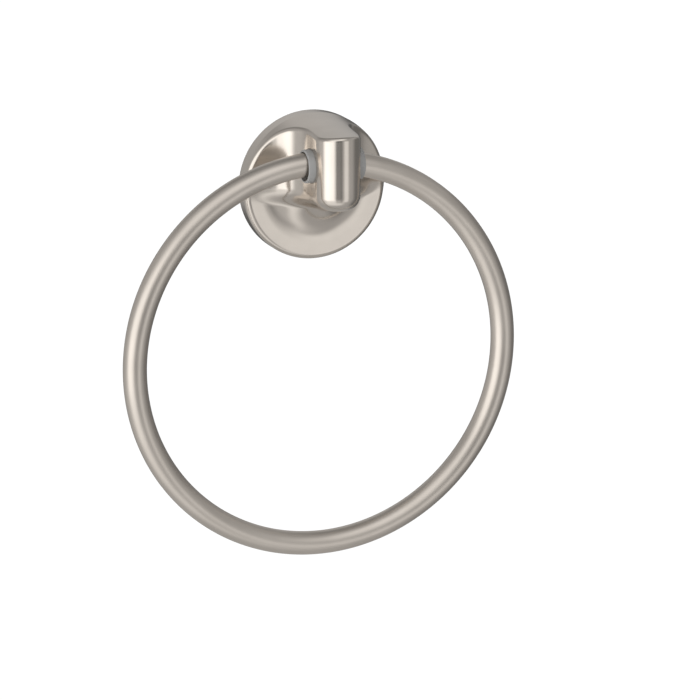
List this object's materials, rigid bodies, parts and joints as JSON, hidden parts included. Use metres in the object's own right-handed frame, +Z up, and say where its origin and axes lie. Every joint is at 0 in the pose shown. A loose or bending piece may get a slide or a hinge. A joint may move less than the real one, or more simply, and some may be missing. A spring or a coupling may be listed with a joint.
{
  "type": "towel ring",
  "caption": "Wall-mounted towel ring: a round-based cast post with scooped shoulders carries a closed tube ring that swings in plastic liners, over a hidden dovetail wall bracket.",
  "frame": {"origin": "centre of the post's round back face, on the wall", "axes": "+X to the right, +Y into the wall, +Z up; the post points along -Y into the room"},
  "size_m": [0.165, 0.0418, 0.1764],
  "materials": {
    "cast_satin": "satin nickel plating on a zinc casting",
    "ring_satin": "satin nickel plating, brushed along the tube",
    "liner_plastic": "grey moulded nylon",
    "bracket_zinc": "plain cast zinc",
    "screw_steel": "plain steel"
  },
  "bodies": {
    "mounted_post": {"post": "cast_satin", "liner_left": "liner_plastic", "liner_right": "liner_plastic", "wall_bracket": "bracket_zinc", "grub_screw": "screw_steel"},
    "swinging_ring": {"ring": "ring_satin"}
  },
  "joints": [
    {"name": "ring_swing", "type": "hinge", "parent": "mounted_post", "child": "swinging_ring", "pos_m": [0, -0.0269, 0.0127], "axis": [-1, 0, 0], "range_deg": [-8, 188]}
  ]
}
